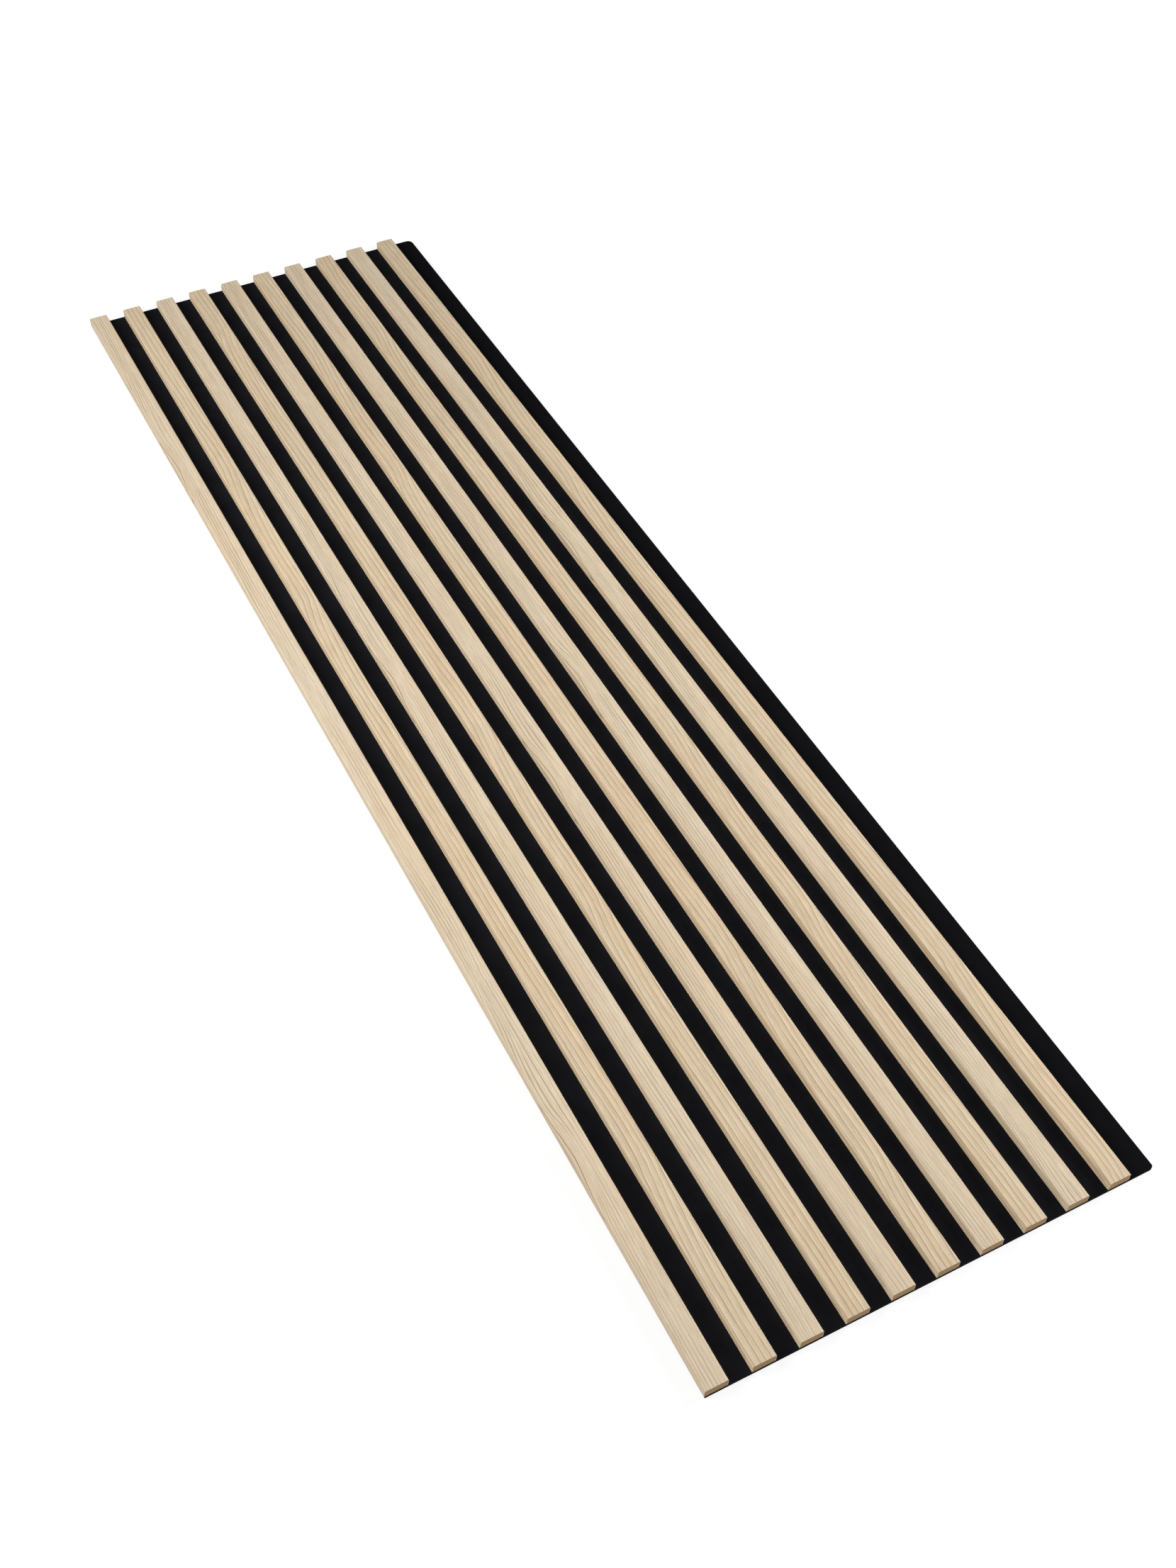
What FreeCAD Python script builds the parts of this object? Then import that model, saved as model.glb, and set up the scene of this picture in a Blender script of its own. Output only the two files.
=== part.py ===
import FreeCAD, Part
import os

# Acoustic slat wall panel.
# Ten wrapped slats lie side by side on a felt backing board and are stapled to it from behind.
# Millimetres. X runs across the slats, Y along them, and +Z up through their faces.
# The origin is in the plane of the backing board's back, which the panel lies on, under its middle.

# Backing board. It is flush with the ends of the slats and stops just short of the first slat's side,
# so that no black edge shows there. A bare strip runs on beyond the last slat, where the next panel joins.
BOARD_LENGTH = 2150.0
BOARD_THICKNESS = 5.0
BOARD_SETBACK = 1.5
BARE_STRIP = 37.0
NEAR_CORNER_RADIUS = 4.0
FAR_CORNER_RADIUS = 10.0

# Slats. Each is a fibreboard core with a thin wood wrap over its face and both sides.
SLAT_COUNT = 10
SLAT_WIDTH = 30.0
SLAT_THICKNESS = 13.5
SLAT_GAP = 30.0
WRAP_THICKNESS = 0.6
CORE_ARRIS_RADIUS = 1.4

# Staples. Each straddles a slat's middle line, with its crown pressed into the board's back.
STAPLES_PER_SLAT = 8
STAPLE_END_DISTANCE = 60.0
STAPLE_CROWN = 10.0
STAPLE_WIRE_WIDTH = 1.2
STAPLE_WIRE_THICKNESS = 0.6
STAPLE_SINK = 0.4
STAPLE_BITE = 7.0
STAPLE_POINT = 1.2

# Sizes that follow
SLAT_PITCH = SLAT_WIDTH + SLAT_GAP
PANEL_WIDTH = SLAT_COUNT * SLAT_WIDTH + (SLAT_COUNT - 1) * SLAT_GAP + BARE_STRIP
PANEL_LEFT = -PANEL_WIDTH / 2.0
BOARD_LEFT = PANEL_LEFT + BOARD_SETBACK
BOARD_RIGHT = PANEL_LEFT + PANEL_WIDTH
BOARD_NEAR = -BOARD_LENGTH / 2.0
CORE_WIDTH = SLAT_WIDTH - 2.0 * WRAP_THICKNESS
CORE_THICKNESS = SLAT_THICKNESS - WRAP_THICKNESS
WRAP_ARRIS_RADIUS = CORE_ARRIS_RADIUS + WRAP_THICKNESS
STAPLE_PITCH = (BOARD_LENGTH - 2.0 * STAPLE_END_DISTANCE) / (STAPLES_PER_SLAT - 1)
STAPLE_TIP = BOARD_THICKNESS + STAPLE_BITE
SIN_45 = 0.5 ** 0.5


def slat_left(index):
    """X of the left side of a slat, counted from 0 at the panel's left edge."""
    return PANEL_LEFT + index * SLAT_PITCH


def line(start, end):
    return Part.LineSegment(start, end).toShape()


def arc(start, middle, end):
    return Part.Arc(start, middle, end).toShape()


def strip_section(left, width, thickness, radius):
    """Section of a strip that stands on the board: square below, with both upper arrises rounded."""
    right = left + width
    foot = BOARD_THICKNESS
    top = foot + thickness
    inset = radius * (1.0 - SIN_45)

    def at(x, z):
        return FreeCAD.Vector(x, BOARD_NEAR, z)

    edges = [
        line(at(left, foot), at(left, top - radius)),
        arc(at(left, top - radius), at(left + inset, top - inset), at(left + radius, top)),
        line(at(left + radius, top), at(right - radius, top)),
        arc(at(right - radius, top), at(right - inset, top - inset), at(right, top - radius)),
        line(at(right, top - radius), at(right, foot)),
        line(at(right, foot), at(left, foot)),
    ]
    return Part.Face(Part.Wire(edges))


def core_section(index):
    return strip_section(slat_left(index) + WRAP_THICKNESS, CORE_WIDTH, CORE_THICKNESS, CORE_ARRIS_RADIUS)


def wrap_section(index):
    """The slat's whole section less its core: one even skin, carried round both arrises."""
    whole = strip_section(slat_left(index), SLAT_WIDTH, SLAT_THICKNESS, WRAP_ARRIS_RADIUS)
    return whole.cut(core_section(index)).Faces[0]


def along_slat(section):
    """A section carried along the whole length of the panel."""
    return section.extrude(FreeCAD.Vector(0.0, BOARD_LENGTH, 0.0))


def staple(centre_x, centre_y):
    """One flat-wire staple: a crown, and two legs that end in points cut back towards each other."""
    half = STAPLE_CROWN / 2.0
    wire = STAPLE_WIRE_THICKNESS
    near = centre_y - STAPLE_WIRE_WIDTH / 2.0
    outline = [
        (-half, STAPLE_SINK),
        (half, STAPLE_SINK),
        (half, STAPLE_TIP),
        (half - wire, STAPLE_TIP - STAPLE_POINT),
        (half - wire, STAPLE_SINK + wire),
        (-half + wire, STAPLE_SINK + wire),
        (-half + wire, STAPLE_TIP - STAPLE_POINT),
        (-half, STAPLE_TIP),
        (-half, STAPLE_SINK),
    ]
    corners = [FreeCAD.Vector(centre_x + x, near, z) for x, z in outline]
    face = Part.Face(Part.makePolygon(corners))
    return face.extrude(FreeCAD.Vector(0.0, STAPLE_WIRE_WIDTH, 0.0))


def staple_row(index):
    """The staples of one slat, evenly spaced between its two end staples."""
    centre_x = slat_left(index) + SLAT_WIDTH / 2.0
    first_y = BOARD_NEAR + STAPLE_END_DISTANCE
    return [staple(centre_x, first_y + step * STAPLE_PITCH) for step in range(STAPLES_PER_SLAT)]


def crown_dent(centre_x, centre_y):
    """The slot that a crown presses into the felt, from the back face down to the crown."""
    corner = FreeCAD.Vector(centre_x - STAPLE_CROWN / 2.0, centre_y - STAPLE_WIRE_WIDTH / 2.0, 0.0)
    return Part.makeBox(STAPLE_CROWN, STAPLE_WIRE_WIDTH, STAPLE_SINK, corner)


def board_outline():
    """The board seen from above: square along the first slat, with rounded corners on the bare side."""
    left = BOARD_LEFT
    right = BOARD_RIGHT
    near = BOARD_NEAR
    far = BOARD_NEAR + BOARD_LENGTH
    near_inset = NEAR_CORNER_RADIUS * (1.0 - SIN_45)
    far_inset = FAR_CORNER_RADIUS * (1.0 - SIN_45)

    def at(x, y):
        return FreeCAD.Vector(x, y, 0.0)

    edges = [
        line(at(left, near), at(right - NEAR_CORNER_RADIUS, near)),
        arc(
            at(right - NEAR_CORNER_RADIUS, near),
            at(right - near_inset, near + near_inset),
            at(right, near + NEAR_CORNER_RADIUS),
        ),
        line(at(right, near + NEAR_CORNER_RADIUS), at(right, far - FAR_CORNER_RADIUS)),
        arc(
            at(right, far - FAR_CORNER_RADIUS),
            at(right - far_inset, far - far_inset),
            at(right - FAR_CORNER_RADIUS, far),
        ),
        line(at(right - FAR_CORNER_RADIUS, far), at(left, far)),
        line(at(left, far), at(left, near)),
    ]
    return Part.Face(Part.Wire(edges))


def felt_board(staples):
    """The felt sheet, with a slot for each staple."""
    sheet = board_outline().extrude(FreeCAD.Vector(0.0, 0.0, BOARD_THICKNESS))
    dents = [crown_dent(piece.BoundBox.Center.x, piece.BoundBox.Center.y) for piece in staples]
    return sheet.cut(staples + dents)


def save(name, shape):
    shape.exportStep(os.path.join("parts", name + ".step"))


os.makedirs("parts", exist_ok=True)

all_staples = []
for slat in range(SLAT_COUNT):
    row = staple_row(slat)
    all_staples.extend(row)
    save("slat_core_%d" % (slat + 1), along_slat(core_section(slat)).cut(row))
    save("slat_wrap_%d" % (slat + 1), along_slat(wrap_section(slat)))

save("felt_backing", felt_board(all_staples))
save("back_staples", Part.makeCompound(all_staples))
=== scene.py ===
import math

import bpy
from mathutils import Matrix, Vector


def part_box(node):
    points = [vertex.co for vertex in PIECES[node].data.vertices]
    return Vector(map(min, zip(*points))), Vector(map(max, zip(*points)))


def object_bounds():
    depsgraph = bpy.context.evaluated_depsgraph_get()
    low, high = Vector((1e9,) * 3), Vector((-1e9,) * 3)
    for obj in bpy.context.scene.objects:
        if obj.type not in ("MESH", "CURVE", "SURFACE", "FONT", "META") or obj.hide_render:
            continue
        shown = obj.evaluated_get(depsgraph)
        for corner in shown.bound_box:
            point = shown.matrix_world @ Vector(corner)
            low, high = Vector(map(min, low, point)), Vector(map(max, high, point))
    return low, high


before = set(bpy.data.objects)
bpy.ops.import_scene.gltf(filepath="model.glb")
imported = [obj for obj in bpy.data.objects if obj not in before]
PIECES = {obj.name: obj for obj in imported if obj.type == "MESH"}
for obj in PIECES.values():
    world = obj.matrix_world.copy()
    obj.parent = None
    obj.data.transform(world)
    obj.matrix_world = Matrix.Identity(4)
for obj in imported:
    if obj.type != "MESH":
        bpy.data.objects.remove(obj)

# Acoustic slat wall panel, lying on a pale floor.
# Metres in the scene. The wood figure is worked out in millimetres, as a maker would lay it out.
# Where a value goes to remap, its first two numbers are carried onto its last two, or onto 0 and 1
# where it has only two.

CAD_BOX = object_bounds()
MM_PER_M = 1000.0

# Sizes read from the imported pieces
SLAT_COUNT = len([name for name in PIECES if name.startswith("slat_wrap_")])
FIRST_LOW, FIRST_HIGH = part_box("slat_wrap_1")
SECOND_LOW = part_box("slat_wrap_2")[0]
SLAT_WIDTH_MM = (FIRST_HIGH.x - FIRST_LOW.x) * MM_PER_M
SLAT_PITCH_MM = (SECOND_LOW.x - FIRST_LOW.x) * MM_PER_M
SLAT_TOP_MM = FIRST_HIGH.z * MM_PER_M
SLAT_FOOT_MM = FIRST_LOW.z * MM_PER_M
NEAR_END_MM = FIRST_LOW.y * MM_PER_M
FIRST_LEFT_MM = FIRST_LOW.x * MM_PER_M
LAST_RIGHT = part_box("slat_wrap_%d" % SLAT_COUNT)[1].x

# Camera: where it stands, the point of the panel that it looks at, and how far it leans to one side
CAMERA_PLACE = Vector((-0.79847, -1.69398, 1.90152))
CAMERA_AIM = Vector((-0.0156, -0.2521, 0.0050))
CAMERA_LEAN = math.radians(1.416)
LENS_MM = 41.857
SENSOR_MM = 36.0
NEAREST_SEEN_M = 0.05
FARTHEST_SEEN_M = 60.0

# Wood figure. Both figures repeat along the wrap, and each slat starts at its own place in them.
FIGURE_REPEAT_MM = 1385.0
CURVE_LOW_MM = -6.0
CURVE_HIGH_MM = 26.0
FIGURE_STARTS_MM = {
    1: 584.0,
    2: 688.0,
    3: 0.0,
    4: 0.0,
    5: -266.0,
    6: -482.0,
    7: -110.0,
    8: -132.0,
    9: 148.0,
    10: -614.0,
}

# Sideways sway of the growth lines of the streaked wrap: place along the figure, sway, both in mm
STREAKED_SWAY = [
    (0.0, 0.0),
    (150.0, -0.2),
    (250.0, -0.9),
    (330.0, -2.7),
    (400.0, -4.3),
    (455.0, -4.2),
    (530.0, -1.5),
    (575.0, 1.0),
    (620.0, 6.9),
    (655.0, 9.9),
    (690.0, 9.8),
    (750.0, 8.5),
    (800.0, 9.1),
    (850.0, 11.7),
    (900.0, 15.4),
    (950.0, 20.1),
    (985.0, 22.9),
    (1030.0, 23.1),
    (1100.0, 20.4),
    (1200.0, 18.3),
    (1300.0, 15.9),
    (1385.0, 15.0),
]
STREAKED_SPACING_MM = 7.5
STREAKED_PHASE_MM = 7.2

# Lines of the streaked wrap: how many there are to a ring and how far on the first one is, then in mm
# the width of a line and the reach of the tone behind it
MAIN_LINES = {"share": 1.0, "offset": 0.0, "width": 1.15, "reach": 7.0}
HALF_LINES = {"share": 2.0, "offset": 0.12, "width": 1.2, "reach": 2.6}
FINE_LINES = {"share": 4.0, "offset": 0.37, "width": 0.9, "reach": 1.4}
MAIN_LEAST = 0.7
HALF_LEAST = 0.0
HALF_STRENGTH = 0.14
FINE_STRENGTH = 0.38

# The pale wrap sways differently on its left and right halves, and its lines pass round one knot
PALE_LEFT_SWAY = [
    (0.0, 4.5),
    (100.0, 5.0),
    (150.0, 4.0),
    (200.0, 2.4),
    (250.0, 0.6),
    (300.0, 0.0),
    (900.0, 0.0),
    (950.0, 1.4),
    (1050.0, 3.1),
    (1100.0, 2.9),
    (1130.0, 2.0),
    (1155.0, -0.2),
    (1195.0, -2.9),
    (1235.0, -2.7),
    (1265.0, -1.2),
    (1300.0, 1.8),
    (1340.0, 4.8),
    (1385.0, 8.6),
]
PALE_RIGHT_SWAY = [
    (0.0, -2.8),
    (20.0, -0.4),
    (50.0, 2.2),
    (100.0, 4.8),
    (200.0, 3.8),
    (300.0, 2.6),
    (400.0, 0.3),
    (500.0, -1.6),
    (600.0, -3.2),
    (780.0, -2.3),
    (900.0, 0.0),
    (1000.0, 1.9),
    (1200.0, 4.1),
    (1300.0, 1.0),
    (1385.0, -2.8),
]
PALE_SWAY_TURN_MM = (4.0, 30.0)

# Strength of all lines of the pale wrap together: place along the figure in mm, strength from 0 to 1
PALE_STRENGTH = [
    (0.0, 0.5),
    (90.0, 0.9),
    (160.0, 0.9),
    (220.0, 0.6),
    (320.0, 0.75),
    (600.0, 0.6),
    (680.0, 0.8),
    (1000.0, 0.95),
    (1055.0, 0.7),
    (1085.0, 0.5),
    (1115.0, 0.45),
    (1140.0, 0.6),
    (1170.0, 0.95),
    (1300.0, 1.0),
    (1385.0, 0.8),
]
PALE_LEFT_SPACING_MM = 4.1
PALE_RIGHT_SPACING_MM = 5.0
PALE_TURN_MM = 14.0
PALE_SPACING_TURN_MM = (12.0, 15.0)
PALE_PHASE_MM = 3.4
PALE_LINE_MM = 1.3
PALE_BAND_MM = 2.0
PALE_LEAST = 0.35
PALE_FACE_FADE = (17.0, 25.0, 1.0, 0.4)
PALE_FINE_SHARE = 2.0
PALE_FINE_OFFSET = 0.3
PALE_FINE_SPACING_MM = 2.2
PALE_FINE_LINE_MM = 1.0
PALE_FINE_BAND_MM = 1.6
PALE_FINE_STRENGTH = 0.4

# The knot: its middle and half size, how it pushes the lines aside, how its own tone fades, and where
# the lines stop at it
KNOT_ACROSS_MM = -6.0
KNOT_ALONG_MM = 1112.0
KNOT_HALF_WIDTH_MM = 10.5
KNOT_HALF_LENGTH_MM = 83.0
KNOT_POWER = 1.3
PUSH_ALONG_MM = KNOT_ALONG_MM - 10.0
PUSH_OVER_LENGTH = (0.0, 95.0, 14.0, 0.0)
PUSH_OVER_WIDTH = (0.0, 15.0, 1.0, 0.0)
KNOT_OUTLINE = (0.02, 0.12, 0.7, 0.0)
KNOT_INSIDE = (0.15, 1.0, 0.3, 0.0)
KNOT_CLEARING = (0.95, 1.05)

# A growth line ends in an edge this sharp, with a short and faint lead past it
EDGE_MM = 0.4
LEAD_MM = 0.30
LEAD_STRENGTH = 0.25

# Slow bends of the lines: size of one bend across and along the slat, and the whole swing
STREAKED_BEND_MM = (14.0, 210.0)
STREAKED_SWING_MM = 4.0
PALE_BEND_MM = (11.0, 180.0)
PALE_SWING_MM = 3.5

# How single lines differ in strength: the step from one line to the next in the noise, the length over
# which a line changes, and the noise at which it is weakest and strongest
STREAKED_CHANGE = {"step": 3.7, "stretch": 170.0, "weakest": 0.36, "strongest": 0.62}
PALE_CHANGE = {"step": 5.3, "stretch": 210.0, "weakest": 0.37, "strongest": 0.61}

# Fine lines show in patches of this size
STREAKED_PATCH_MM = (6.0, 260.0)
PALE_PATCH_MM = (7.0, 230.0)
PATCH_SHOWN = (0.42, 0.60)

# The depth at which each noise is cut, which keeps them from looking alike
MAIN_DEPTH = 0.0
HALF_DEPTH = 5.0
PALE_DEPTH = 7.0
STREAKED_BEND_DEPTH = 0.0
PALE_BEND_DEPTH = 2.0
STREAKED_PATCH_DEPTH = 4.0
PALE_PATCH_DEPTH = 9.0
SLAT_DEPTH_STEP = 3.1

# Size of one fibre, pore, cloud and warm stretch of the wood, across and along the slat
FIBRE_MM = (0.8, 26.0)
PORE_MM = (0.32, 5.0)
CLOUD_MM = (3.2, 60.0)
WARM_STRETCH_MM = (8.0, 330.0)

# How much each feature of the wood shows in its colour, its height and its roughness
PORE_SHOWN = (0.66, 0.76)
WARM_SHARE = (0.30, 0.70)
CLOUD_SHARE = (0.42, 0.72, 0.0, 0.18)
BAND_SHARE = 0.4
FIBRE_SHARE = (0.42, 0.68, 0.0, 0.55)
PORE_SHARE = 0.4
LINE_RELIEF = -0.5
PORE_RELIEF = -0.5
FIBRE_RELIEF = 0.45
WOOD_ROUGHNESS = (0.2, 0.8, 0.52, 0.62)
LINE_ROUGHNESS = 0.08
CLOUD_ROUGHNESS = 0.06
WOOD_BUMP = {"Strength": 0.2, "Distance": 0.00005}
WOOD_SPECULAR = 0.25

# Painted shade on the wrap, by the distance across: over the left part of the face, down the left side, and
# ending at the side's upper end
FACE_PAINTED_SHADE = (12.0, 22.0, 0.24, 0.0)
SIDE_PAINTED_SHADE = (-7.0, -3.0, 0.33, 0.75)
SIDE_PAINTED_SHADE_END = (-1.2, 0.9, 1.0, 0.0)

# Colours as they look on a screen, 0 to 255
STREAKED_COLOURS = {
    "Pale": (243, 225, 196),
    "Warm": (243, 218, 183),
    "Band_Colour": (194, 171, 138),
    "Line_Colour": (108, 75, 33),
}
PALE_COLOURS = {
    "Pale": (239, 223, 196),
    "Warm": (240, 217, 185),
    "Band_Colour": (198, 178, 150),
    "Line_Colour": (112, 84, 46),
}
BOARD_DARK = (177, 146, 109)
BOARD_LIGHT = (199, 168, 129)
BOARD_GRIT = (150, 118, 82)
BOARD_SKIN = (165, 133, 96)
FELT_DARK = (26, 27, 31)
FELT_LIGHT = (31, 32, 36)
FELT_LINT = (44, 45, 51)
# Painted shade for the felt's top past the last slat
FELT_STRIP_PAINTED_SHADE = (13, 13, 15)
STEEL_DARK = (176, 178, 180)
STEEL_LIGHT = (206, 207, 208)

# Fibreboard: flecks and grit to the metre along X, Y and Z, and how they and the denser skins show
FLECKS_PER_M = (900.0, 900.0, 2400.0)
GRIT_PER_M = (3200.0, 3200.0, 4200.0)
FLECK_SHARE = (0.3, 0.7)
GRIT_SHARE = (0.5, 0.8, 0.0, 0.5)
SKIN_START = 0.55
SKIN_SHARE = 0.35
FLECK_RELIEF = 0.6
GRIT_RELIEF = 0.4
BOARD_ROUGHNESS = (0.2, 0.8, 0.78, 0.92)
BOARD_BUMP = {"Strength": 0.5, "Distance": 0.00025}
BOARD_SPECULAR = 0.15

# Felt: each layer of fibres has its turn in radians and its shift in metres
FELT_LAYERS = ((0.35, 0.0), (1.45, 3.0), (2.5, 6.0))
FELT_FIBRES_PER_M = (420.0, 3600.0, 2600.0)
FELT_CLOUDS_PER_M = (26.0, 26.0, 26.0)
MOTTLE_SHARE = (0.3, 0.7)
LINT_SHARE = (0.58, 0.78, 0.0, 0.45)
# Painted shade on the felt's top past the last slat: its fade-in past the slat in metres, its strength, and
# the heights over which it comes in
STRIP_SHADE_FADE_M = 0.003
STRIP_SHADE_SHARE = 0.7
STRIP_SHADE_HEIGHT_M = (0.002, 0.004)
FELT_ROUGHNESS = (0.3, 0.7, 0.9, 1.0)
FELT_BUMP = {"Strength": 0.5, "Distance": 0.0005}
FELT_SPECULAR = 0.02

# Staple steel
DRAWN_LINES_PER_M = (260.0, 9000.0, 260.0)
BLOOM_PER_M = (700.0, 700.0, 700.0)
STEEL_ROUGHNESS = (0.2, 0.8, 0.24, 0.42)
STEEL_BUMP = {"Strength": 0.3, "Distance": 0.00002}

# Light
LEFT_LAMP = {"place": (-2.14, 0.37, 1.52), "aim": (0.0, 0.22, 0.0), "size": (1.46, 1.46), "watts": 62.0}
RIGHT_LAMP = {"place": (2.45, -0.84, 1.69), "aim": (0.0, -0.30, 0.0), "size": (1.1, 1.1), "watts": 57.5}
FRONT_LAMP = {"place": (1.0, -3.0, 0.5), "aim": (0.1, -1.0, 0.0), "size": (1.0, 0.6), "watts": 17.5}
LOW_LAMP = {"place": (-2.25, -2.01, 0.22), "aim": (-0.3, -1.0, 0.0), "size": (0.5, 0.3), "watts": 9.4}
SKY_LEVEL = 0.152
SKY_SEEN = 1.0
WHITE = (1.0, 1.0, 1.0, 1.0)

# Floor
FLOOR_HALF_M = 6.0
FLOOR_CLEARANCE_M = 0.0002
FLOOR_COLOUR = (0.20, 0.20, 0.20, 1.0)
FLOOR_GLOW = (0.05, 0.6, 0.86, 1.0)


class Wiring:
    """Adds nodes to one node tree. An input given as a socket is joined, and anything else is typed in."""

    def __init__(self, tree):
        self.tree = tree

    def put(self, socket, value):
        if isinstance(value, bpy.types.NodeSocket):
            self.tree.links.new(value, socket)
        else:
            socket.default_value = value

    def add(self, kind, inputs=None, **settings):
        node = self.tree.nodes.new(kind)
        for name, value in settings.items():
            setattr(node, name, value)
        for name, value in (inputs or {}).items():
            self.put(node.inputs[name], value)
        return node

    def calc(self, kind, *values):
        """One Math node of the given operation, and its result."""
        node = self.add("ShaderNodeMath", operation=kind)
        for place, value in enumerate(values):
            self.put(node.inputs[place], value)
        return node.outputs[0]

    def remap(self, value, low, high, to_low=0.0, to_high=1.0, kind="SMOOTHSTEP"):
        """value carried from the range low to high onto another range, and held at its ends."""
        node = self.add("ShaderNodeMapRange", interpolation_type=kind, clamp=True)
        for place, number in enumerate((value, low, high, to_low, to_high)):
            self.put(node.inputs[place], number)
        return node.outputs[0]

    def vector(self, x=0.0, y=0.0, z=0.0):
        return self.add("ShaderNodeCombineXYZ", {"X": x, "Y": y, "Z": z}).outputs[0]

    def split(self, vector):
        """The X, Y and Z of a vector, by name."""
        return self.add("ShaderNodeSeparateXYZ", {"Vector": vector}).outputs

    def noise(self, vector, detail, roughness=0.5):
        """Smooth noise from 0 to 1, with one feature for each unit of the vector."""
        inputs = {"Vector": vector, "Scale": 1.0, "Detail": detail, "Roughness": roughness}
        return self.add("ShaderNodeTexNoise", inputs).outputs[0]

    def grain(self, across, along, size, depth, detail, roughness=0.5):
        """Noise with one feature for each size[0] across the slat and each size[1] along it."""
        x = self.calc("DIVIDE", across, size[0])
        y = self.calc("DIVIDE", along, size[1])
        return self.noise(self.vector(x, y, depth), detail, roughness)

    def per_metre(self, place, counts, detail, roughness):
        """Noise with the given count of features to the metre along X, Y and Z."""
        scaled = self.add("ShaderNodeMapping", {"Vector": place, "Scale": counts}).outputs[0]
        return self.noise(scaled, detail, roughness)

    def bump(self, height, relief):
        """The normal of a surface raised by height. relief gives the strength and the depth in metres."""
        return self.add("ShaderNodeBump", {"Height": height, **relief}).outputs[0]

    def mix(self, share, first, second):
        """A colour between first and second. A Mix node has its colours at inputs 6 and 7 and output 2."""
        node = self.add("ShaderNodeMix", data_type="RGBA")
        for place, value in ((0, share), (6, first), (7, second)):
            self.put(node.inputs[place], value)
        return node.outputs[2]

    def between(self, share, first, second):
        """A number between first and second. A Mix node has its numbers at inputs 2 and 3 and output 0."""
        node = self.add("ShaderNodeMix", data_type="FLOAT")
        for place, value in ((0, share), (2, first), (3, second)):
            self.put(node.inputs[place], value)
        return node.outputs[0]

    def curve(self, place, points, low, high):
        """A smooth curve over one repeat of the figure, drawn through points of (place, value)."""
        share = self.calc("DIVIDE", place, FIGURE_REPEAT_MM)
        node = self.add("ShaderNodeFloatCurve", {"Value": share})
        drawn = node.mapping.curves[0].points
        scaled = [(along / FIGURE_REPEAT_MM, (value - low) / (high - low)) for along, value in points]
        drawn[0].location = scaled[0]
        drawn[1].location = scaled[-1]
        for spot in scaled[1:-1]:
            drawn.new(*spot)
        node.mapping.update()
        return self.remap(node.outputs[0], 0.0, 1.0, low, high, kind="LINEAR")


def new_group(name, inputs, outputs):
    """A shader node group with named sockets: its wiring, its inputs, and a function that fills an output."""
    tree = bpy.data.node_groups.new(name, "ShaderNodeTree")
    kinds = {"value": "NodeSocketFloat", "vector": "NodeSocketVector", "colour": "NodeSocketColor"}
    for label, kind in inputs:
        tree.interface.new_socket(label, in_out="INPUT", socket_type=kinds[kind])
    for label, kind in outputs:
        tree.interface.new_socket(label, in_out="OUTPUT", socket_type=kinds[kind])
    wiring = Wiring(tree)
    entry = wiring.add("NodeGroupInput")
    leave = wiring.add("NodeGroupOutput")

    def give(label, value):
        wiring.put(leave.inputs[label], value)

    return wiring, entry.outputs, give


def use_group(wiring, name, **inputs):
    """One use of a group. Its inputs are named with underscores for spaces."""
    node = wiring.add("ShaderNodeGroup", node_tree=bpy.data.node_groups[name])
    for label, value in inputs.items():
        wiring.put(node.inputs[label.replace("_", " ")], value)
    return node.outputs


def make_slat_place():
    """Where a point of the wrap lies when the wrap is rolled out flat.

    across = distance from the slat's left side, plus the drop below the face on the right half
    and less that drop on the left half, so that the figure runs on down both sides.
    along = (distance from the near end - start) modulo the figure's repeat.
    """
    inputs = [("Place", "vector"), ("Left Side", "value"), ("Start", "value")]
    outputs = [("Across", "value"), ("Along", "value"), ("Length", "value"), ("Repeats", "value")]
    w, given, give = new_group("slat place", inputs, outputs)
    place = w.split(given["Place"])
    x = w.calc("MULTIPLY_ADD", place["X"], MM_PER_M, w.calc("MULTIPLY", given["Left Side"], -1.0))
    drop = w.calc("MULTIPLY_ADD", place["Z"], -MM_PER_M, SLAT_TOP_MM)
    half = w.calc("SIGN", w.calc("SUBTRACT", x, SLAT_WIDTH_MM / 2.0))
    length = w.calc("MULTIPLY_ADD", place["Y"], MM_PER_M, -NEAR_END_MM)
    shifted = w.calc("SUBTRACT", length, given["Start"])
    give("Across", w.calc("MULTIPLY_ADD", drop, half, x))
    give("Along", w.calc("FLOORED_MODULO", shifted, FIGURE_REPEAT_MM))
    give("Length", length)
    give("Repeats", w.calc("FLOOR", w.calc("DIVIDE", shifted, FIGURE_REPEAT_MM)))


def make_growth_line():
    """The tone of one growth line: it darkens slowly towards the line and ends in a sharp edge.

    behind = distance back from the next whole ring number, and ahead = distance on from the last, in mm.
    edge = 0 at the ring number, and rises to 1 over the edge's width behind it.
    line = edge x a fall from 1 to 0 over the width, or the faint lead ahead where that is more.
    band = edge x the same fall over the reach.
    """
    inputs = [("Rings", "value"), ("Spacing", "value"), ("Width", "value"), ("Reach", "value")]
    outputs = [("Line", "value"), ("Band", "value"), ("Number", "value")]
    w, given, give = new_group("growth line", inputs, outputs)
    part = w.calc("FRACT", given["Rings"])
    behind = w.calc("MULTIPLY", w.calc("SUBTRACT", 1.0, part), given["Spacing"])
    ahead = w.calc("MULTIPLY", part, given["Spacing"])
    edge = w.remap(behind, 0.0, EDGE_MM)
    lead = w.calc("MULTIPLY", w.remap(ahead, 0.0, LEAD_MM, 1.0, 0.0), LEAD_STRENGTH)
    line = w.calc("MULTIPLY", w.remap(behind, 0.0, given["Width"], 1.0, 0.0), edge)
    give("Line", w.calc("MAXIMUM", line, lead))
    give("Band", w.calc("MULTIPLY", w.remap(behind, 0.0, given["Reach"], 1.0, 0.0), edge))
    give("Number", w.calc("FLOOR", given["Rings"]))


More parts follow.
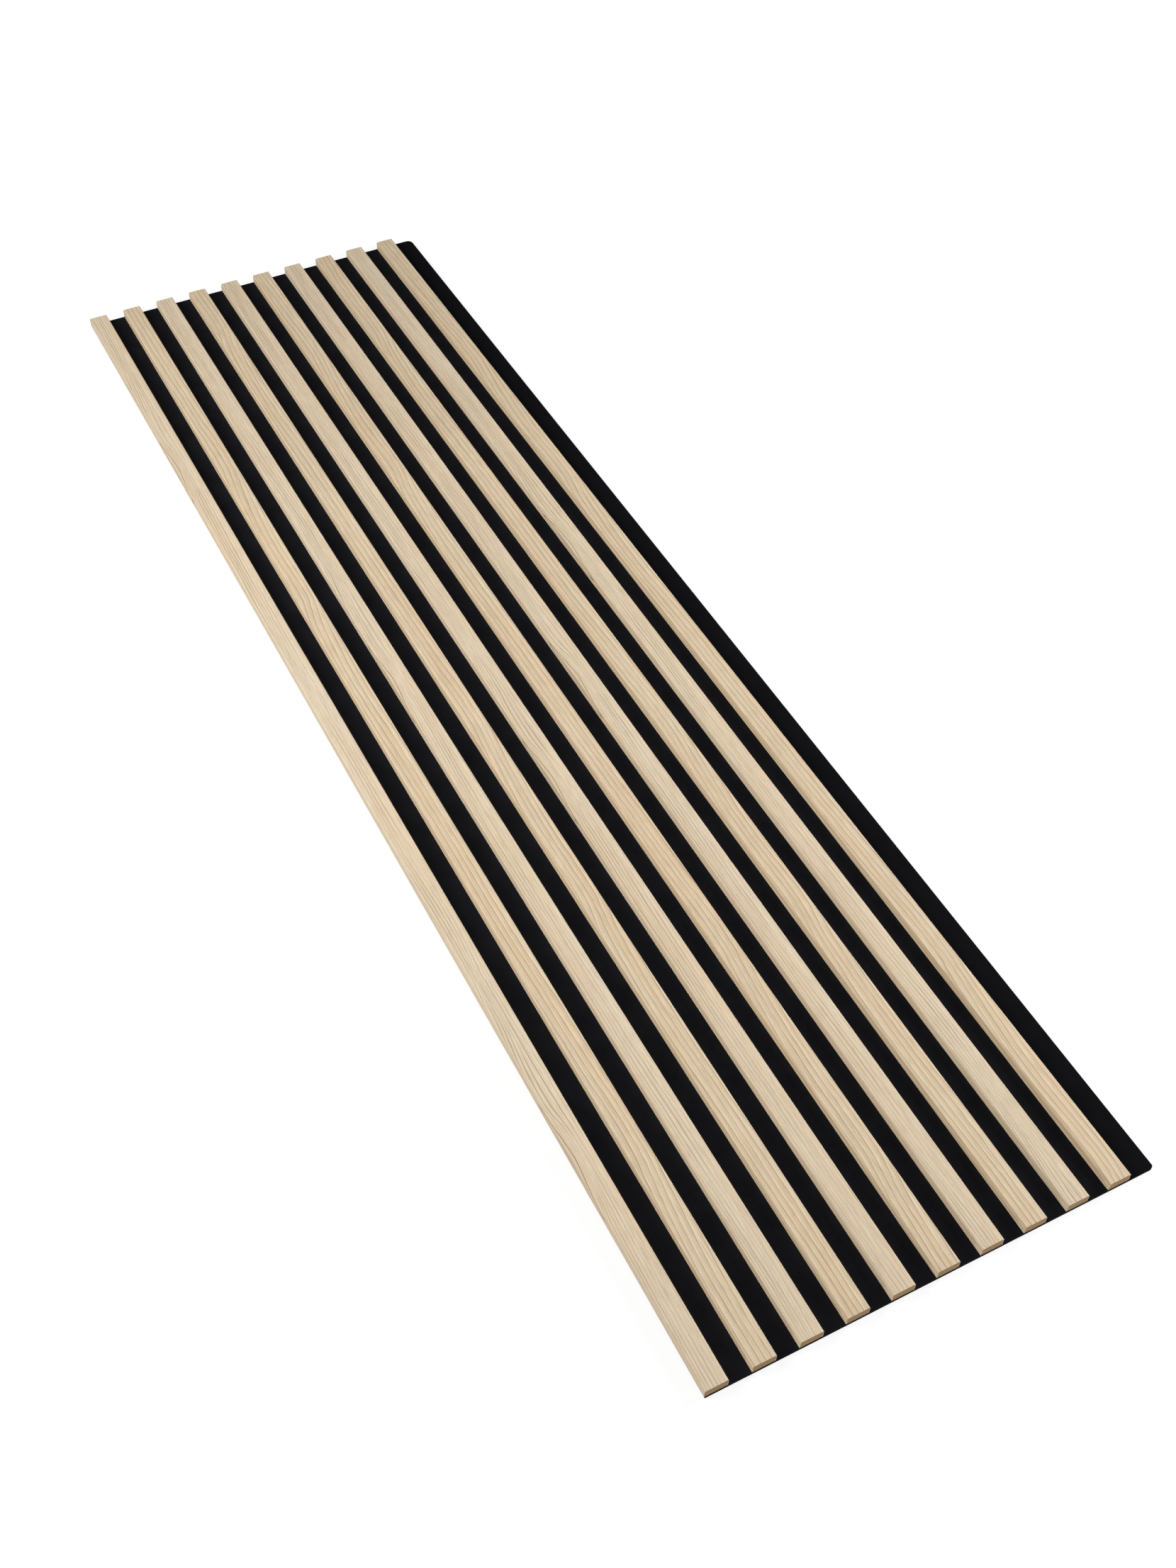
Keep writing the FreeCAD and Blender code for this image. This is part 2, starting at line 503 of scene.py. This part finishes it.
def make_fibres():
    """What every stretch of wood has: fine fibres, short pores, soft clouds and warm or cool stretches.

    Each is noise drawn out along the slat, at its own size.
    """
    inputs = [("Across", "value"), ("Length", "value"), ("Seed", "value")]
    outputs = [("Fibre", "value"), ("Pores", "value"), ("Cloud", "value"), ("Warmth", "value")]
    w, given, give = new_group("wood fibres", inputs, outputs)
    where = {"across": given["Across"], "along": given["Length"], "depth": given["Seed"]}
    give("Fibre", w.grain(size=FIBRE_MM, detail=4.0, roughness=0.62, **where))
    give("Pores", w.remap(w.grain(size=PORE_MM, detail=1.0, **where), *PORE_SHOWN))
    give("Cloud", w.grain(size=CLOUD_MM, detail=3.0, **where))
    give("Warmth", w.grain(size=WARM_STRETCH_MM, detail=2.0, **where))


def slow_bends(w, across, length, size, depth, swing):
    """How far the growth lines wander sideways = (noise - 0.5) x swing, with no fine kinks."""
    return w.calc("MULTIPLY", w.calc("SUBTRACT", w.grain(across, length, size, depth, 0.0), 0.5), swing)


def line_strength(w, number, length, depth, least, step, stretch, weakest, strongest):
    """Each line's own strength, from least to 1: noise of its number and of the place along the slat."""
    spot = w.vector(w.calc("MULTIPLY", number, step), w.calc("DIVIDE", length, stretch), depth)
    return w.remap(w.noise(spot, 1.0), weakest, strongest, least, 1.0)


def in_patches(w, line, strength, flow, length, size, depth):
    """Fine lines = line x strength, shown only where noise of the given size is high."""
    shown = w.remap(w.grain(flow, length, size, depth, 1.0), *PATCH_SHOWN)
    return w.calc("MULTIPLY", w.calc("MULTIPLY", line, shown), strength)


def make_streaked_figure():
    """Broad flowing figure: rings = (across + bends - sway - drift of each repeat + phase) / spacing.

    Whole ring numbers are the dark lines, each with its own strength, which changes along the slat.
    Weaker lines lie at halves of a ring, and fine ones at quarters in some patches.
    """
    inputs = [("Across", "value"), ("Along", "value"), ("Length", "value"), ("Repeats", "value")]
    w, given, give = new_group("streaked figure", inputs, [("Lines", "value"), ("Bands", "value")])
    across = given["Across"]
    length = given["Length"]
    sway = w.curve(given["Along"], STREAKED_SWAY, CURVE_LOW_MM, CURVE_HIGH_MM)
    drift = STREAKED_SWAY[-1][1]
    total = w.calc("MULTIPLY_ADD", given["Repeats"], drift, sway)
    bends = slow_bends(w, across, length, STREAKED_BEND_MM, STREAKED_BEND_DEPTH, STREAKED_SWING_MM)
    flow = w.calc("SUBTRACT", w.calc("ADD", across, bends), total)
    rings = w.calc("DIVIDE", w.calc("ADD", flow, STREAKED_PHASE_MM), STREAKED_SPACING_MM)

    def rings_of(share, offset, width, reach):
        spacing = STREAKED_SPACING_MM / share
        finer = w.calc("MULTIPLY_ADD", rings, share, offset)
        return use_group(w, "growth line", Rings=finer, Spacing=spacing, Width=width, Reach=reach)

    main = rings_of(**MAIN_LINES)
    strength = line_strength(w, main["Number"], length, MAIN_DEPTH, MAIN_LEAST, **STREAKED_CHANGE)
    half = rings_of(**HALF_LINES)
    own_half = line_strength(w, half["Number"], length, HALF_DEPTH, HALF_LEAST, **STREAKED_CHANGE)
    half_line = w.calc("MULTIPLY", w.calc("MULTIPLY", half["Line"], own_half), HALF_STRENGTH)
    fine = rings_of(**FINE_LINES)
    patch = {"size": STREAKED_PATCH_MM, "depth": STREAKED_PATCH_DEPTH}
    fine_line = in_patches(w, fine["Line"], FINE_STRENGTH, flow, length, **patch)
    weaker = w.calc("MAXIMUM", half_line, fine_line)
    give("Lines", w.calc("MAXIMUM", w.calc("MULTIPLY", main["Line"], strength), weaker))
    give("Bands", w.calc("MULTIPLY", main["Band"], strength))


def make_pale_figure():
    """Quieter figure: close straight lines on the left, wide ones on the right, and one knot they pass round.

    sway goes over from the left one to the right one across the slat.
    push = largest beside the knot, and fades along the slat and across it.
    flow = across + bends - sway - push.
    rings = (flow up to the turn + phase) / left spacing + flow past the turn / right spacing.
    reach = |x from the knot / half width| ^ power + |y from the knot / half length| ^ power.
    knot = a thin outline where reach is near 1, and a faint tone towards its middle.
    """
    inputs = [("Across", "value"), ("Along", "value"), ("Length", "value")]
    outputs = [("Lines", "value"), ("Bands", "value"), ("Knot", "value")]
    w, given, give = new_group("pale figure", inputs, outputs)
    across = given["Across"]
    along = given["Along"]
    length = given["Length"]
    left = w.curve(along, PALE_LEFT_SWAY, CURVE_LOW_MM, CURVE_HIGH_MM)
    right = w.curve(along, PALE_RIGHT_SWAY, CURVE_LOW_MM, CURVE_HIGH_MM)
    sway = w.between(w.remap(across, *PALE_SWAY_TURN_MM), left, right)
    from_knot = w.calc("ABSOLUTE", w.calc("SUBTRACT", along, PUSH_ALONG_MM))
    beside = w.remap(from_knot, *PUSH_OVER_LENGTH)
    push = w.calc("MULTIPLY", beside, w.remap(across, *PUSH_OVER_WIDTH, kind="LINEAR"))
    bends = slow_bends(w, across, length, PALE_BEND_MM, PALE_BEND_DEPTH, PALE_SWING_MM)
    flow = w.calc("SUBTRACT", w.calc("ADD", across, bends), w.calc("ADD", sway, push))
    near = w.calc("ADD", w.calc("MINIMUM", flow, PALE_TURN_MM), PALE_PHASE_MM)
    past = w.calc("MAXIMUM", w.calc("SUBTRACT", flow, PALE_TURN_MM), 0.0)
    near_rings = w.calc("DIVIDE", near, PALE_LEFT_SPACING_MM)
    rings = w.calc("ADD", near_rings, w.calc("DIVIDE", past, PALE_RIGHT_SPACING_MM))
    turned = w.remap(flow, *PALE_SPACING_TURN_MM)
    spacing = w.between(turned, PALE_LEFT_SPACING_MM, PALE_RIGHT_SPACING_MM)
    sizes = {"Width": PALE_LINE_MM, "Reach": PALE_BAND_MM}
    grown = use_group(w, "growth line", Rings=rings, Spacing=spacing, **sizes)
    own = line_strength(w, grown["Number"], length, PALE_DEPTH, PALE_LEAST, **PALE_CHANGE)
    own = w.calc("MULTIPLY", own, w.remap(across, *PALE_FACE_FADE))
    strength = w.calc("MULTIPLY", w.curve(along, PALE_STRENGTH, 0.0, 1.0), own)
    finer = w.calc("MULTIPLY_ADD", rings, PALE_FINE_SHARE, PALE_FINE_OFFSET)
    sizes = {"Spacing": PALE_FINE_SPACING_MM, "Width": PALE_FINE_LINE_MM, "Reach": PALE_FINE_BAND_MM}
    fine = use_group(w, "growth line", Rings=finer, **sizes)
    patch = {"size": PALE_PATCH_MM, "depth": PALE_PATCH_DEPTH}
    fine_line = in_patches(w, fine["Line"], PALE_FINE_STRENGTH, flow, length, **patch)

    def knot_share(place, middle, half_size):
        share = w.calc("DIVIDE", w.calc("SUBTRACT", place, middle), half_size)
        return w.calc("POWER", w.calc("ABSOLUTE", share), KNOT_POWER)

    wide = knot_share(across, KNOT_ACROSS_MM, KNOT_HALF_WIDTH_MM)
    reach = w.calc("ADD", wide, knot_share(along, KNOT_ALONG_MM, KNOT_HALF_LENGTH_MM))
    outline = w.remap(w.calc("ABSOLUTE", w.calc("SUBTRACT", reach, 1.0)), *KNOT_OUTLINE)
    give("Knot", w.calc("MAXIMUM", outline, w.remap(reach, *KNOT_INSIDE)))
    outside = w.remap(reach, *KNOT_CLEARING)
    lines = w.calc("MAXIMUM", w.calc("MULTIPLY", grown["Line"], strength), fine_line)
    give("Lines", w.calc("MULTIPLY", lines, outside))
    give("Bands", w.calc("MULTIPLY", w.calc("MULTIPLY", grown["Band"], strength), outside))


def make_wood_finish():
    """Colour, height and roughness of the wrap from its figure and its fibres.

    The colour goes from pale to warm, then towards the band colour with clouds, bands and fibres,
    and towards the line colour with lines and pores.
    Growth lines and pores are a little sunken, fibres stand up, and lines and clouds are duller.
    """
    inputs = [
        ("Lines", "value"),
        ("Bands", "value"),
        ("Fibre", "value"),
        ("Pores", "value"),
        ("Cloud", "value"),
        ("Warmth", "value"),
        ("Pale", "colour"),
        ("Warm", "colour"),
        ("Band Colour", "colour"),
        ("Line Colour", "colour"),
    ]
    outputs = [("Colour", "colour"), ("Height", "value"), ("Roughness", "value")]
    w, given, give = new_group("wood finish", inputs, outputs)
    ground = w.mix(w.remap(given["Warmth"], *WARM_SHARE), given["Pale"], given["Warm"])
    ground = w.mix(w.remap(given["Cloud"], *CLOUD_SHARE), ground, given["Band Colour"])
    # On the wrap, Bands also carries the painted shade over its left part and down its left side.
    ground = w.mix(w.calc("MULTIPLY", given["Bands"], BAND_SHARE), ground, given["Band Colour"])
    ground = w.mix(w.remap(given["Fibre"], *FIBRE_SHARE), ground, given["Band Colour"])
    ground = w.mix(given["Lines"], ground, given["Line Colour"])
    ground = w.mix(w.calc("MULTIPLY", given["Pores"], PORE_SHARE), ground, given["Line Colour"])
    give("Colour", ground)
    raised = w.calc("MULTIPLY", given["Fibre"], FIBRE_RELIEF)
    sunk = w.calc("MULTIPLY_ADD", given["Lines"], LINE_RELIEF, raised)
    give("Height", w.calc("MULTIPLY_ADD", given["Pores"], PORE_RELIEF, sunk))
    plain = w.remap(given["Fibre"], *WOOD_ROUGHNESS)
    dull = w.calc("MULTIPLY_ADD", given["Lines"], LINE_ROUGHNESS, plain)
    give("Roughness", w.calc("MULTIPLY_ADD", given["Cloud"], CLOUD_ROUGHNESS, dull))


def new_material(name):
    """An empty node material: its wiring, its surface shader and Object coordinates."""
    material = bpy.data.materials.new(name)
    material.use_nodes = True
    material.node_tree.nodes.clear()
    w = Wiring(material.node_tree)
    shader = w.add("ShaderNodeBsdfPrincipled")
    output = w.add("ShaderNodeOutputMaterial")
    w.put(output.inputs["Surface"], shader.outputs[0])
    place = w.add("ShaderNodeTexCoord").outputs["Object"]
    return material, w, shader, place


def give_surface(w, shader, colour, roughness, normal):
    """Joins what changes over a surface to its shader."""
    w.put(shader.inputs["Base Color"], colour)
    w.put(shader.inputs["Roughness"], roughness)
    w.put(shader.inputs["Normal"], normal)


def linear(seen):
    """A colour seen on a screen, 0 to 255, as the light values that a shader takes.

    light = (share + 0.055) / 1.055 to the power 2.4, and share / 12.92 for the darkest tones.
    """

    def one(value):
        share = value / 255.0
        return share / 12.92 if share <= 0.04045 else ((share + 0.055) / 1.055) ** 2.4

    return tuple(one(value) for value in seen) + (1.0,)


def wrap_material(number):
    """The wood wrap of one slat. Even slats are streaked and odd ones pale, each from its own start.

    bands = the figure's bands + a faint painted shade over the left part of the face + a fuller painted shade
    down the left side, which deepens towards the arris and ends on it.
    """
    streaked = number % 2 == 0
    name = ("streaked_wood_%d" if streaked else "pale_wood_%d") % number
    material, w, shader, place = new_material(name)
    left = FIRST_LEFT_MM + (number - 1) * SLAT_PITCH_MM
    spot = use_group(w, "slat place", Place=place, Left_Side=left, Start=FIGURE_STARTS_MM[number])
    across = spot["Across"]
    depth = number * SLAT_DEPTH_STEP
    fibres = use_group(w, "wood fibres", Across=across, Length=spot["Length"], Seed=depth)
    where = {"Across": across, "Along": spot["Along"], "Length": spot["Length"]}
    if streaked:
        figure = use_group(w, "streaked figure", Repeats=spot["Repeats"], **where)
        lines = figure["Lines"]
        seen = STREAKED_COLOURS
    else:
        figure = use_group(w, "pale figure", **where)
        lines = w.calc("MAXIMUM", figure["Lines"], figure["Knot"])
        seen = PALE_COLOURS
    colours = {label: linear(colour) for label, colour in seen.items()}
    # Painted shade: the wrap's colour is pulled towards its band colour over the left part of the face and
    # down the left side, most just under the arris.
    side_painted_shade = w.calc("MULTIPLY", w.remap(across, *SIDE_PAINTED_SHADE), w.remap(across, *SIDE_PAINTED_SHADE_END))
    tone = w.calc("ADD", w.remap(across, *FACE_PAINTED_SHADE), side_painted_shade)
    look = use_group(
        w,
        "wood finish",
        Lines=lines,
        Bands=w.calc("ADD", figure["Bands"], tone),
        Fibre=fibres["Fibre"],
        Pores=fibres["Pores"],
        Cloud=fibres["Cloud"],
        Warmth=fibres["Warmth"],
        **colours,
    )
    give_surface(w, shader, look["Colour"], look["Roughness"], w.bump(look["Height"], WOOD_BUMP))
    shader.inputs["Specular IOR Level"].default_value = WOOD_SPECULAR
    return material


def fibreboard_material():
    """Bare sawn fibreboard: plain brown, with fine crushed fibres and denser, darker skins.

    skin = 0 in the middle of the board's thickness, and rises to 1 at its upper and lower face.
    """
    material, w, shader, place = new_material("fibreboard_plain")
    height = w.calc("MULTIPLY", w.split(place)["Z"], MM_PER_M)
    middle = (SLAT_TOP_MM + SLAT_FOOT_MM) / 2.0
    half = (SLAT_TOP_MM - SLAT_FOOT_MM) / 2.0
    from_middle = w.calc("ABSOLUTE", w.calc("SUBTRACT", height, middle))
    skin = w.remap(from_middle, half * SKIN_START, half)
    flecks = w.per_metre(place, FLECKS_PER_M, 3.0, 0.6)
    grit = w.per_metre(place, GRIT_PER_M, 2.0, 0.6)
    ground = w.mix(w.remap(flecks, *FLECK_SHARE), linear(BOARD_DARK), linear(BOARD_LIGHT))
    ground = w.mix(w.remap(grit, *GRIT_SHARE), ground, linear(BOARD_GRIT))
    ground = w.mix(w.calc("MULTIPLY", skin, SKIN_SHARE), ground, linear(BOARD_SKIN))
    relief = w.calc("MULTIPLY_ADD", flecks, FLECK_RELIEF, w.calc("MULTIPLY", grit, GRIT_RELIEF))
    give_surface(w, shader, ground, w.remap(grit, *BOARD_ROUGHNESS), w.bump(relief, BOARD_BUMP))
    shader.inputs["Specular IOR Level"].default_value = BOARD_SPECULAR
    return material


def felt_material():
    """Black compressed felt: short crossing fibres in three directions, fine lint and soft mottling.

    lint = the highest of the three layers, and relief = their mean.
    The felt's top on the bare strip past the last slat is painted darker. This painted shade keeps it as dark
    as the felt in the shaded grooves, though the lamps light it more.
    """
    material, w, shader, place = new_material("black_felt")
    laid = []
    for turn, shift in FELT_LAYERS:
        turning = {"Vector": place, "Location": (shift, shift, 0.0), "Rotation": (0.0, 0.0, turn)}
        turned = w.add("ShaderNodeMapping", turning).outputs[0]
        laid.append(w.per_metre(turned, FELT_FIBRES_PER_M, 2.0, 0.6))
    crossed = w.calc("MAXIMUM", w.calc("MAXIMUM", laid[0], laid[1]), laid[2])
    added = w.calc("ADD", w.calc("ADD", laid[0], laid[1]), laid[2])
    matted = w.calc("DIVIDE", added, float(len(FELT_LAYERS)))
    mottling = w.per_metre(place, FELT_CLOUDS_PER_M, 3.0, 0.55)
    ground = w.mix(w.remap(mottling, *MOTTLE_SHARE), linear(FELT_DARK), linear(FELT_LIGHT))
    ground = w.mix(w.remap(crossed, *LINT_SHARE), ground, linear(FELT_LINT))
    point = w.split(place)
    # Painted shade: the felt past the last slat is darkened, though the lamps light it more than the felt in
    # the grooves.
    past = w.remap(point["X"], LAST_RIGHT, LAST_RIGHT + STRIP_SHADE_FADE_M, 0.0, STRIP_SHADE_SHARE)
    strip_painted_shade = w.calc("MULTIPLY", past, w.remap(point["Z"], *STRIP_SHADE_HEIGHT_M))
    ground = w.mix(strip_painted_shade, ground, linear(FELT_STRIP_PAINTED_SHADE))
    give_surface(w, shader, ground, w.remap(matted, *FELT_ROUGHNESS), w.bump(matted, FELT_BUMP))
    shader.inputs["Specular IOR Level"].default_value = FELT_SPECULAR
    return material


def staple_material():
    """Bright drawn steel wire with fine drawing lines along it and a faint zinc bloom."""
    material, w, shader, place = new_material("staple_steel_drawn")
    lines = w.per_metre(place, DRAWN_LINES_PER_M, 3.0, 0.6)
    bloom = w.per_metre(place, BLOOM_PER_M, 3.0, 0.6)
    ground = w.mix(bloom, linear(STEEL_DARK), linear(STEEL_LIGHT))
    give_surface(w, shader, ground, w.remap(lines, *STEEL_ROUGHNESS), w.bump(lines, STEEL_BUMP))
    shader.inputs["Metallic"].default_value = 1.0
    return material


def finish_pieces():
    """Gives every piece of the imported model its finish, in the material slots that it has."""
    make_slat_place()
    make_growth_line()
    make_fibres()
    make_streaked_figure()
    make_pale_figure()
    make_wood_finish()
    board = fibreboard_material()
    looks = {"felt_backing": felt_material(), "back_staples": staple_material()}
    for number in range(1, SLAT_COUNT + 1):
        looks["slat_core_%d" % number] = board
        looks["slat_wrap_%d" % number] = wrap_material(number)
    for name, material in looks.items():
        for slot in PIECES[name].material_slots:
            slot.material = material


def make_floor():
    """A plain pale floor, white to the camera, that still takes the panel's shadow.

    It glows by itself for the camera and for reflections alone: a little less beside the panel, where the
    lamps add most, and fully at 0.6 m from it.
    """
    edge = FLOOR_HALF_M
    low = -FLOOR_CLEARANCE_M
    corners = [(-edge, -edge, low), (edge, -edge, low), (edge, edge, low), (-edge, edge, low)]
    mesh = bpy.data.meshes.new("floor")
    mesh.from_pydata(corners, [], [(0, 1, 2, 3)])
    floor = bpy.data.objects.new("floor", mesh)
    bpy.context.scene.collection.objects.link(floor)
    material, w, shader, place = new_material("floor_white")
    shader.inputs["Base Color"].default_value = FLOOR_COLOUR
    shader.inputs["Roughness"].default_value = 1.0
    shader.inputs["Specular IOR Level"].default_value = 0.0
    point = w.split(place)
    past_side = w.calc("SUBTRACT", w.calc("ABSOLUTE", point["X"]), CAD_BOX[1][0])
    past_end = w.calc("SUBTRACT", w.calc("ABSOLUTE", point["Y"]), CAD_BOX[1][1])
    glow_level = w.remap(w.calc("MAXIMUM", past_side, past_end), *FLOOR_GLOW)
    rays = w.add("ShaderNodeLightPath").outputs
    seen = w.calc("MAXIMUM", rays["Is Camera Ray"], rays["Is Glossy Ray"])
    glow = w.add("ShaderNodeEmission", {"Strength": w.calc("MULTIPLY", seen, glow_level)})
    both = w.add("ShaderNodeAddShader")
    w.put(both.inputs[0], shader.outputs[0])
    w.put(both.inputs[1], glow.outputs[0])
    output = next(node for node in material.node_tree.nodes if node.type == "OUTPUT_MATERIAL")
    w.put(output.inputs["Surface"], both.outputs[0])
    mesh.materials.append(material)


def make_world():
    """An even pale surrounding that lights the panel softly and is white to the camera."""
    world = bpy.data.worlds.new("studio")
    world.use_nodes = True
    world.node_tree.nodes.clear()
    w = Wiring(world.node_tree)
    rays = w.add("ShaderNodeLightPath").outputs
    level = w.between(rays["Is Camera Ray"], SKY_LEVEL, SKY_SEEN)
    back = w.add("ShaderNodeBackground", {"Color": WHITE, "Strength": level})
    w.put(w.add("ShaderNodeOutputWorld").inputs["Surface"], back.outputs[0])
    bpy.context.scene.world = world


def soft_lamp(name, place, aim, size, watts):
    """A rectangular lamp that faces aim and doesn't show itself."""
    lamp = bpy.data.lights.new(name, "AREA")
    lamp.shape = "RECTANGLE"
    lamp.size = size[0]
    lamp.size_y = size[1]
    lamp.energy = watts
    holder = bpy.data.objects.new(name, lamp)
    holder.location = place
    holder.rotation_euler = (Vector(aim) - Vector(place)).to_track_quat("-Z", "Y").to_euler()
    holder.visible_camera = False
    bpy.context.scene.collection.objects.link(holder)


def make_lights():
    """A lamp on each side, a low one for the near ends, and a lower one for the first slat's outer side."""
    soft_lamp("left lamp", **LEFT_LAMP)
    soft_lamp("right lamp", **RIGHT_LAMP)
    soft_lamp("front lamp", **FRONT_LAMP)
    soft_lamp("low lamp", **LOW_LAMP)


def make_camera():
    """Looks from CAMERA_PLACE at CAMERA_AIM; right = level right x cos lean + up x sin lean."""
    data = bpy.data.cameras.new("camera")
    data.lens = LENS_MM
    data.sensor_width = SENSOR_MM
    data.clip_start = NEAREST_SEEN_M
    data.clip_end = FARTHEST_SEEN_M
    camera = bpy.data.objects.new("camera", data)
    bpy.context.scene.collection.objects.link(camera)
    forward = (CAMERA_AIM - CAMERA_PLACE).normalized()
    level = forward.cross(Vector((0.0, 0.0, 1.0))).normalized()
    upright = level.cross(forward)
    right = level * math.cos(CAMERA_LEAN) + upright * math.sin(CAMERA_LEAN)
    up = right.cross(forward)
    turn = Matrix((right, up, -forward)).transposed()
    camera.matrix_world = Matrix.Translation(CAMERA_PLACE) @ turn.to_4x4()
    bpy.context.scene.camera = camera


finish_pieces()
make_floor()
make_world()
make_lights()
make_camera()
bpy.context.scene.view_settings.view_transform = "Standard"
